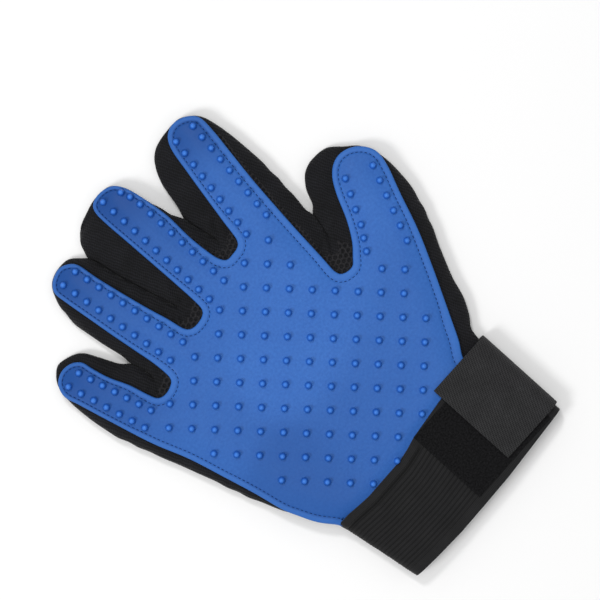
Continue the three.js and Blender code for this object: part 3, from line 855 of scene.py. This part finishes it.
def shell_rows(edge, fold, steps):
    """Sections of the side strip: from under the rubber's edge out over the fold and in under it."""
    edge_out, fold_out = normals_of(edge), normals_of(fold)
    bulge, high = closing(fold, fold_out)
    along = np.arange(len(fold)) * STEP
    wobble = 0.2 * np.sin(along / 4.7 + 2.5 * np.sin(along / 13)) * (1 - smooth(bulge))
    rim = fold + (bulge + wobble)[:, None] * fold_out
    z_edge, z_fold = strip_heights(edge, fold)
    z_fold = z_fold + 1.3 * high
    rows = []
    for i in range(len(edge)):
        drop = z_edge[i] - z_fold[i]
        points = [(edge[i] - 3.2 * edge_out[i], z_edge[i]), (edge[i] - 0.6 * edge_out[i], z_edge[i] + 0.05)]
        for share, fall in SLOPE[1:]:
            points.append((edge[i] + share * (rim[i] - edge[i]), z_edge[i] - fall * drop))
        for inward, rise in TUCK:
            points.append((rim[i] - inward * fold_out[i], z_fold[i] * rise))
        line = np.array([(*xy, z) for xy, z in points])
        curve = resample(spline(line, 0.5), 0.2)
        rows.append(curve[np.linspace(0, len(curve) - 1, steps).round().astype(int)])
    return np.array(rows)


def shell_relief(points, top):
    """The knit's slack: long soft waves, and puckers at the crotches, only on what faces up."""
    x, y = points[:, 0], points[:, 1]
    slack = 0.22 * np.sin(x / 4.1 + 1.6 * np.sin(y / 9)) * np.sin(y / 5.3 + 1.1 * np.sin(x / 8))
    return (slack + pucker(points)) * top


def build_shell():
    """Side strips all round the hand, made as one loft and cut at the creases."""
    steps = 26
    rows = shell_rows(PAD_EDGE, FOLD, steps)
    n = len(rows)
    share = np.linspace(0, 1, steps)
    # 1 where the strip faces up, 0 under the rubber and under the fold.
    top = np.tile(smooth((share - 0.12) / 0.12) * (1 - smooth((share - 0.55) / 0.15)), n)
    vertices = rows.reshape(-1, 3)
    vertices[:, 2] += shell_relief(vertices, top)
    faces = grid_faces(n, steps)
    owner = np.repeat(owners_of((FOLD[:-1] + FOLD[1:]) / 2), steps - 1)
    made = split_and_ride("side_strips", vertices, faces, KNIT, owner=owner)
    for name, obj in made.items():
        if name == "palm":
            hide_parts("little_side_strip", "ring_little_crotch", "middle_ring_crotch",
                        "index_middle_crotch", "thumb_web", "thumb_side_strip")
        else:
            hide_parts(f"{name}_side_strip_left", f"{name}_side_strip_right")


PANEL_HEEL = -76  # where the panels end under the cuff
PANEL_THICK = 0.6


def outline_inside(line, inset):
    """A closed outline that keeps inside a line and ends straight at the wrist."""
    moved = line - inset * normals_of(line)
    moved = moved[moved[:, 1] > PANEL_HEEL]
    across = np.linspace(moved[-1], moved[0], 30)[1:-1]
    return resample(np.vstack([moved, across, moved[:1]]), 2.5)[:-1]


def build_panel(title, points, faces, height, material):
    """A layer of cloth on the glove's front or back, cut at the creases and given its thickness."""
    vertices = np.column_stack([points, height])
    made = split_and_ride(title, vertices, faces.tolist(), material, normals=False)
    for name, obj in made.items():
        modifier = obj.modifiers.new("thickness", "SOLIDIFY")
        modifier.thickness = PANEL_THICK * MM
        modifier.offset = -1
        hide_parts(f"{name}_{title}")


def build_panels():
    """The mesh cloth under the rubber, and the back of the glove."""
    points, faces = filled(outline_inside(PAD_EDGE, 2.2), 7)
    height = pad_height(points, edge_distance(points, EDGE_LINE)) - PAD_THICK - 2 * SHEET_GAP
    build_panel("base_panel", points, faces, height, MESH_CLOTH)

    points, faces = filled(outline_inside(FOLD, 3), 4)
    rise = 0.75 * (1 - smooth((edge_distance(points, FOLD) - 2.5) / 7))
    height = 0.12 + rise + 0.12 * np.sin(points[:, 0] / 6 + points[:, 1] / 9)
    build_panel("back_panel", points, faces[:, ::-1], height, KNIT)


# Where the coarse mesh of the base panel shows past the rubber: [x, y, width that shows, reach].
MARGINS = [
    (-60, 34.5, 4.6, 8),
    (-25.5, 46, 6.0, 9),
    (11.5, 55.5, 6.2, 10),
    (44.5, 8, 11.0, 11),
    (41.5, 30, 3.6, 14),
    (44.5, 62, 2.6, 20),
    (48, 90, 2.2, 14),
    (4, 72, 2.0, 12),
]
HOLE = {"pitch": 2.95, "row": 2.3, "turn": 20, "radius": 0.82, "soft": 0.4, "depth": 0.8}


def margin_width(points):
    """How much of the coarse mesh shows past the rubber near each point of its edge."""
    width = np.zeros(len(points))
    for x, y, show, reach in MARGINS:
        near = np.hypot(points[:, 0] - x, points[:, 1] - y) / reach
        width = np.maximum(width, show * (1 - smooth((near - 0.55) / 0.75)))
    return width


def hole_pattern(points):
    """How deep each point lies in the air mesh's staggered oval holes, from 0 on a strand to 1 in a hole."""
    turn = math.radians(HOLE["turn"])
    x = points[:, 0] * math.cos(turn) + points[:, 1] * math.sin(turn)
    y = points[:, 1] * math.cos(turn) - points[:, 0] * math.sin(turn)
    row = np.round(y / HOLE["row"])
    shift = (row % 2) * HOLE["pitch"] / 2
    dx = x - shift - np.round((x - shift) / HOLE["pitch"]) * HOLE["pitch"]
    distance = np.hypot(dx * 0.78, y - row * HOLE["row"])
    return 1 - smooth((distance - HOLE["radius"] + HOLE["soft"] / 2) / HOLE["soft"])


def build_margins():
    """Strips of coarse air mesh along the rubber's edge, laid on the side strips."""
    fine = spline(STATIONS, 0.42)
    edge, fold = fine[:, :2], fine[:, 2:]
    width = np.minimum(margin_width(edge), 0.8 * np.linalg.norm(fold - edge, axis=1))
    out = normals_of(edge)
    columns = 30
    runs = np.split(np.arange(len(edge)), np.flatnonzero(np.diff((width > 1.2).astype(int))) + 1)
    shown = [run for run in runs if width[run[0]] > 1.2 and len(run) > 8]
    for number, run in enumerate(shown):
        rows, pits = [], []
        z_edge, z_fold = strip_heights(edge[run], fold[run])
        for k, i in enumerate(run):
            across = fold[i] - edge[i]
            length = max(np.linalg.norm(across), 0.5)
            lean = smooth(np.array((length - 1.5) / 3))
            direction = lean * across / length + (1 - lean) * out[i]
            u = np.linspace(-1.6, width[i], columns)
            share = np.clip(u / length, 0, 1)
            z = z_edge[k] - np.interp(share, *zip(*SLOPE)) * (z_edge[k] - z_fold[k])
            xy = edge[i] + u[:, None] * direction
            pit = hole_pattern(xy) * (u > -1.2) * (u < width[i] - 0.5)
            lift = 0.5 - 0.7 * smooth((u - width[i] + 0.7) / 0.7)
            slack = shell_relief(xy, 1.0) * smooth(u / 1.5)
            rows.append(np.column_stack([xy, z + slack + lift - HOLE["depth"] * pit]))
            pits.append(pit)
        faces = grid_faces(len(run), columns)
        values = {"pit": np.concatenate(pits)}
        title = f"mesh_margin_{number + 1}"
        split_and_ride(title, np.vstack(rows), faces, MESH_CLOTH, values)


# ---- Cuff ----

# The cuff's left and right side at even steps from its top to its hem.
CUFF_SIDES = [(-53.8, 62), (-51, 62.4), (-49.4, 62.7), (-48.6, 63), (-48.2, 63.2), (-46.6, 63.3)]
# Its top and its hem, from the little-finger side to the thumb side.
SEAM_LINE = [
    (-56, -74.4), (-47, -74.5), (-40, -75.4), (-33, -76.1), (-10, -75.7), (-3, -74.6), (4, -73), (28, -70.2),
    (66, -69.4),
]
HEM_LINE = [
    (-50, -120.6), (-46.5, -120.8), (-33.6, -121.7), (-15.5, -122.4), (2.7, -122), (20.9, -121.4),
    (39, -120), (66, -118),
]
RIB = {"pitch": 2.2, "depth": 0.42, "groove": 0.34, "first": 6.6, "last": 41.5}
GROOVE = {"down": 5.4, "width": 0.5}  # below the rolled seam
CUFF_BOTTOM = 1.0
CUFF_TOP = 11.6
CUFF_WALL = 1.3
CUFF_DEPTH = 47.0


def cuff_relief(down, x):
    """Height of the cuff's face by distance below its seam: a rolled seam, a groove, ribs and a flat hem."""
    plain = 1 - smooth((x - 0.5) / 4)
    roll = 1.15 * smooth(down / 0.8) * (1 - smooth((down - 3.8) / 1.2)) * plain
    groove = -0.55 * bell(down, GROOVE["down"], GROOVE["width"]) * plain
    ribs = smooth((down - RIB["first"] + 0.8) / 0.6) * (1 - smooth((down - RIB["last"]) / 0.8))
    rib = -RIB["depth"] * rib_line(down) * ribs
    hem = -0.25 * bell(down, RIB["last"] + 0.8, 0.4)
    return roll + groove + rib + hem


def rib_line(down):
    """1 in the groove between two ribs, 0 on a rib."""
    lines = (down - RIB["first"]) / RIB["pitch"]
    off = (lines - np.round(lines)) * RIB["pitch"]
    return bell(off, 0, RIB["groove"])


def cuff_groove_shade(down, x):
    """How dark the cuff's face is: painted shade in the grooves between its ribs and in the groove below the
    rolled seam.
    """
    ribs = (down > RIB["first"] - 0.4) * (down < RIB["last"] + 0.4)
    roll = bell(down, GROOVE["down"], GROOVE["width"]) * (1 - smooth((x - 0.5) / 4))
    return np.clip(0.75 * rib_line(down) * ribs + 0.9 * roll, 0, 1)


def tube_section(left, right, bottom, top, count):
    """Points round a flattened tube and their outward directions, from the top left clockwise."""
    r = (top - bottom) / 2
    straight = right - left - 2 * r
    half = straight + math.pi * r
    s = np.arange(count) / count * 2 * half
    # The tube's lower half is its upper half turned round its middle.
    turned = np.where(s < half, 1, -1)[:, None]
    s = np.where(s < half, s, s - half)
    angle = math.pi / 2 - np.maximum(s - straight, 0) / r
    outward = np.column_stack([np.cos(angle), np.sin(angle)])
    middle = np.array([(left + right) / 2, (bottom + top) / 2])
    along = np.column_stack([np.minimum(s, straight) - straight / 2, np.zeros(count)])
    return middle + turned * (along + r * outward), turned * outward


def build_cuff():
    """The cuff's outer face and the wall inside it, as one closed tube of sections round the wrist."""
    around, step = 150, 0.3
    sides = spline(CUFF_SIDES, 0.2)
    deepest = CUFF_DEPTH - step
    outer = [(down, 0.0) for down in np.arange(0, CUFF_DEPTH, step)]
    inner = [(down, CUFF_WALL) for down in np.arange(deepest, 0, -2.0)]
    rows, uv, dark = [], [], []
    for down, wall in outer + inner:
        share = down / deepest
        left, right = sides[int(share * (len(sides) - 1))]
        corners = (left + wall, right - wall, CUFF_BOTTOM + wall, CUFF_TOP - wall)
        section, outward = tube_section(*corners, around)
        x = section[:, 0]
        y = line_at(SEAM_LINE, x) + share * (line_at(HEM_LINE, x) - line_at(SEAM_LINE, x))
        facing = 0.15 + 0.85 * smooth((np.abs(outward[:, 1]) - 0.3) / 0.6)
        held = facing * np.where(outward[:, 1] < 0, 0.35, 1.0)
        relief = np.zeros(around) if wall else cuff_relief(down, x) * held
        slack = 0.25 * np.sin(x / 11 + share * 5) * (outward[:, 1] > 0.5)
        face = section + outward * relief[:, None]
        rows.append(np.column_stack([face[:, 0], y, face[:, 1] + slack]))
        uv += [(s, down) for s in np.linspace(0, 240, around)]
        # Painted shade between the ribs and in the groove below the seam, on the outer face only.
        dark.append(np.zeros(around) if wall else cuff_groove_shade(down, x))
    faces = ring_faces(0, len(rows), around)
    last = (len(rows) - 1) * around
    faces += [[last + k, k, (k + 1) % around, last + (k + 1) % around] for k in range(around)]
    values = {"groove": np.concatenate(dark)}
    cuff = make("cuff", np.vstack(rows), faces, ELASTIC, "palm", uv, values)
    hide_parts("elastic_cuff")


def rounded(t):
    """A quarter circle's height, from 0 at its foot to 1."""
    return np.sqrt(np.clip(1 - (1 - np.clip(t, 0, 1)) ** 2, 0, 1))


def slab(name, x_values, y_values, height, thickness, material, body, edge):
    """A thin cloth rectangle with edges rounded over a width, its upper face given by height(points)."""
    x, y = np.meshgrid(x_values, y_values, indexing="ij")
    shape = x.shape
    flat = np.column_stack([x.ravel(), y.ravel()])
    low, high = flat.min(0), flat.max(0)
    near = np.minimum(flat - low, high - flat).min(1)
    round_off = thickness * 0.5 * (1 - rounded(near / edge))
    top = np.column_stack([flat, height(flat) - round_off])
    base = np.column_stack([flat, height(flat) - thickness + round_off])
    n = len(flat)
    faces = grid_faces(*shape)
    under = [[i + n for i in face[::-1]] for face in faces]
    rim = boundary_loop(*shape)
    walls = [[a, b, b + n, a + n] for a, b in zip(rim, rim[1:] + rim[:1])]
    return make(name, np.vstack([top, base]), faces + under + walls, material, body)


def boundary_loop(rows, columns):
    """Point numbers round a grid's edge, clockwise as its faces see it."""
    loop = list(range(columns))
    loop += [i * columns + columns - 1 for i in range(1, rows)]
    loop += [(rows - 1) * columns + j for j in range(columns - 2, -1, -1)]
    loop += [i * columns for i in range(rows - 2, 0, -1)]
    return loop


def fluff(points):
    """The uneven top of the loop patch's pile."""
    x, y = points[:, 0], points[:, 1]
    rough = np.sin(x * 2.9 + 1.7 * np.sin(y * 1.3)) * np.sin(y * 3.3 + 1.4 * np.sin(x * 1.9))
    return 0.16 * rough + 0.08 * np.sin(x * 5.1 + y * 4.3)


def build_loop_patch():
    low, high = (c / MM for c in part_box("loop_patch"))
    x = np.linspace(low.x - 0.6, high.x, 110)
    y = np.linspace(low.y, high.y + 2.6, 104)
    top = high.z + 0.25
    patch = slab("loop_patch_pile", x, y, lambda p: top + fluff(p), 1.1, PILE, "palm", 1.0)
    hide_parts("loop_patch")


STRAP = {"thick": 1.05, "selvedge": 2.6, "edge": 0.5}
EDGE_STEPS = np.array([0, 0.08, 0.2, 0.35, 0.5])  # close points where the tape's edge is rounded


def strap_section(across):
    """The tape's outline across its width: offsets of its upper and lower faces from its middle."""
    near = across[-1] - np.abs(across)
    thick = STRAP["thick"] * 0.5 * np.maximum(rounded(near / STRAP["edge"]), math.sqrt(0.02))
    groove = -0.13 * bell(near, STRAP["selvedge"], 0.3)
    return thick + groove, -thick


def sweep_tape(name, path, material, sag=0.0):
    """The tape swept along a path of (x, z) points, as a closed strip that starts at its rounded end."""
    low, high = (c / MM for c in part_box("strap_tab"))
    middle, half = (low.y + high.y) / 2, (high.y - low.y) / 2
    inner = np.arange(-half + 1, half - 0.9, 0.6)
    across = np.concatenate([-half + EDGE_STEPS, inner, half - EDGE_STEPS[::-1]])
    d = np.gradient(path, axis=0)
    d /= np.linalg.norm(d, axis=1)[:, None]
    normal = np.stack([-d[:, 1], d[:, 0]], 1)
    s = travelled(path)
    upper, lower = strap_section(across)
    rows, uv = [], []
    for i in range(len(path)):
        share = max(rounded(s[i] / STRAP["edge"]), math.sqrt(0.02))
        loose = sag * (1 - smooth((s[i] - 20) / 8)) * np.sin(across / half * 1.4 + s[i] / 16)
        up = (upper * share + loose)[:, None] * normal[i]
        down = (lower * share + loose)[:, None] * normal[i]
        top = np.column_stack([path[i, 0] + up[:, 0], middle + across, path[i, 1] + up[:, 1]])
        base = np.column_stack([path[i, 0] + down[:, 0], middle + across, path[i, 1] + down[:, 1]])
        rows.append(np.vstack([top, base[::-1]]))
        uv += [(s[i], w) for w in across] + [(s[i], w) for w in across[::-1]]
    count, n = len(path), 2 * len(across)
    faces = ring_faces(0, count, n)
    for first in (0, (count - 1) * n):
        for k in range(len(across) - 1):
            face = [first + k, first + k + 1, first + n - 2 - k, first + n - 1 - k]
            faces.append(face if first == 0 else face[::-1])
    return make(name, np.vstack(rows), faces, material, None, uv)


def build_strap():
    """Hook-and-loop tape: sewn under the cuff, turned up round its thumb side, closed on the loop patch."""
    hinge = np.array(JOINT["strap"]["pos_m"]) / MM
    tab_low, tab_high = (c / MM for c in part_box("strap_tab"))
    sewn_low, sewn_high = (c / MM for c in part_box("strap_sewn_half"))
    top, low = tab_high.z - STRAP["thick"] / 2, sewn_low.z + STRAP["thick"] / 2
    radius = (top - low) / 2
    reach = sewn_high.x - STRAP["thick"] / 2 - hinge[0]
    angles = np.linspace(math.pi / 2, -math.pi / 2, 41)
    turn = np.column_stack([hinge[0] + reach * np.cos(angles), low + radius + radius * np.sin(angles)])

    x = np.concatenate([tab_low.x + EDGE_STEPS, np.arange(tab_low.x + 1, hinge[0] - 0.4, 0.8)])
    lift = 0.35 * smooth((tab_low.x + 6 - x) / 6) + 0.1 * np.sin(x / 5) * smooth((hinge[0] - x) / 6)
    flat = np.column_stack([x, top + lift])
    tab = sweep_tape("strap_tape", np.vstack([flat, turn[:22]]), WEBBING, 0.15)
    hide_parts("strap_tab")
    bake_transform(tab)

    under_x = np.concatenate([sewn_low.x + EDGE_STEPS, np.arange(sewn_low.x + 1, hinge[0] - 0.4, 1.5)])
    under = np.column_stack([under_x, np.full(len(under_x), low)])
    sewn = sweep_tape("strap_turn", np.vstack([under, turn[:19:-1]]), WEBBING)
    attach(sewn, "palm")
    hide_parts("strap_sewn_half")

    low, high = (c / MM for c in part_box("hook_patch"))
    x, y = np.linspace(low.x, high.x, 30), np.linspace(low.y, high.y, 40)
    top = high.z + 0.1
    field = slab("hook_field", x, y, lambda p: np.full(len(p), top), 0.5, HOOKS, None, 0.5)
    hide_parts("hook_patch")
    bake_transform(field)
    build_hooks(low, high)


# A hook's bend from its root to its tip: [distance along its row, height, radius].
HOOK_BEND = [(0.0, 0.0, 0.2), (0.05, -0.35, 0.17), (0.25, -0.6, 0.15), (0.5, -0.5, 0.1)]
HOOK = {"pitch": 1.5, "sides": 5}


def build_hooks(low, high):
    """Rows of little hooks on the strap's underside, each leaning along its row."""
    pitch, sides = HOOK["pitch"], HOOK["sides"]
    tip = (len(HOOK_BEND) - 1) * sides
    vertices, faces = [], []
    for i, x in enumerate(np.arange(low.x + 1, high.x - 1, pitch)):
        lean = 1 if i % 2 else -1
        for y in np.arange(low.y + 1 + (i % 2) * pitch / 2, high.y - 1, pitch):
            first = len(vertices)
            for along, down, radius in HOOK_BEND:
                middle, z = y + lean * along, low.z + 0.1 + down
                for a in 2 * math.pi * np.arange(sides) / sides:
                    vertices.append((x + radius * math.cos(a), middle + radius * math.sin(a), z))
            faces += ring_faces(first, len(HOOK_BEND), sides)
            faces.append(lid(first + tip, sides)[::-1])
    hooks = make("strap_hooks", vertices, faces, HOOKS, None)
    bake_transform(hooks)


# ---- Staging ----


def build_camera():
    data = bpy.data.cameras.new("camera")
    data.sensor_width = 36
    data.lens = 36 * CAM["distance"] / CAM["width"]
    data.clip_start = 0.05
    data.clip_end = 20
    camera = bpy.data.objects.new("camera", data)
    turn = math.radians(CAM["roll"])
    right = Vector((math.sin(turn), -math.cos(turn), 0))
    up = Vector((math.cos(turn), math.sin(turn), 0))
    back = Vector((0, 0, 1))
    placed = Matrix((right, up, back)).transposed().to_4x4()
    placed.translation = (Vector(CAM["aim"]) + Vector((0, 0, CAM["distance"]))) * MM
    camera.matrix_world = placed
    bpy.context.scene.collection.objects.link(camera)
    bpy.context.scene.camera = camera
    return right, up


# Soft round lamps aimed at the glove: [name, metres right of it, metres up the view, height, size, watts].
LAMPS = [
    ("key", -1.15, -0.75, 1.5, 0.6, 14.4),
    ("nub_light", -0.45, 1, 1.7, 0.35, 9.6),
    ("top", 0, 0.1, 2.2, 1.4, 8),
    ("sheen", 0, -0.05, 2.2, 0.35, 4),
]


def area_light(name, place, size, power):
    data = bpy.data.lights.new(name, "AREA")
    data.shape = "DISK"
    data.size = size
    data.energy = power
    light = bpy.data.objects.new(name, data)
    light.location = place
    light.rotation_mode = "QUATERNION"
    light.rotation_quaternion = (-place).to_track_quat("-Z", "Y")
    bpy.context.scene.collection.objects.link(light)


def build_stage(right, up):
    floor_mesh = bpy.data.meshes.new("floor")
    half = 4
    corners = [(-half, -half, 0), (half, -half, 0), (half, half, 0), (-half, half, 0)]
    floor_mesh.from_pydata(corners, [], [(0, 1, 2, 3)])
    floor = bpy.data.objects.new("floor", floor_mesh)
    material, _, _ = shader("floor", (0.9, 0.9, 0.9), 0.9, 0.1)
    floor_mesh.materials.append(material)
    bpy.context.scene.collection.objects.link(floor)

    world = bpy.data.worlds.new("studio")
    world.use_nodes = True
    background = world.node_tree.nodes["Background"]
    background.inputs["Color"].default_value = (1, 1, 1, 1)
    background.inputs["Strength"].default_value = 0.45
    bpy.context.scene.world = world
    for name, across, along, height, size, power in LAMPS:
        area_light(name, across * right + along * up + Vector((0, 0, height)), size, power)
    scene = bpy.context.scene
    scene.view_settings.view_transform = "Standard"
    scene.view_settings.look = "None"


camera_right, camera_up = build_camera()
build_stage(camera_right, camera_up)
build_pad()
build_stitches()
build_shell()
build_panels()
build_margins()
build_cuff()
build_loop_patch()
build_strap()
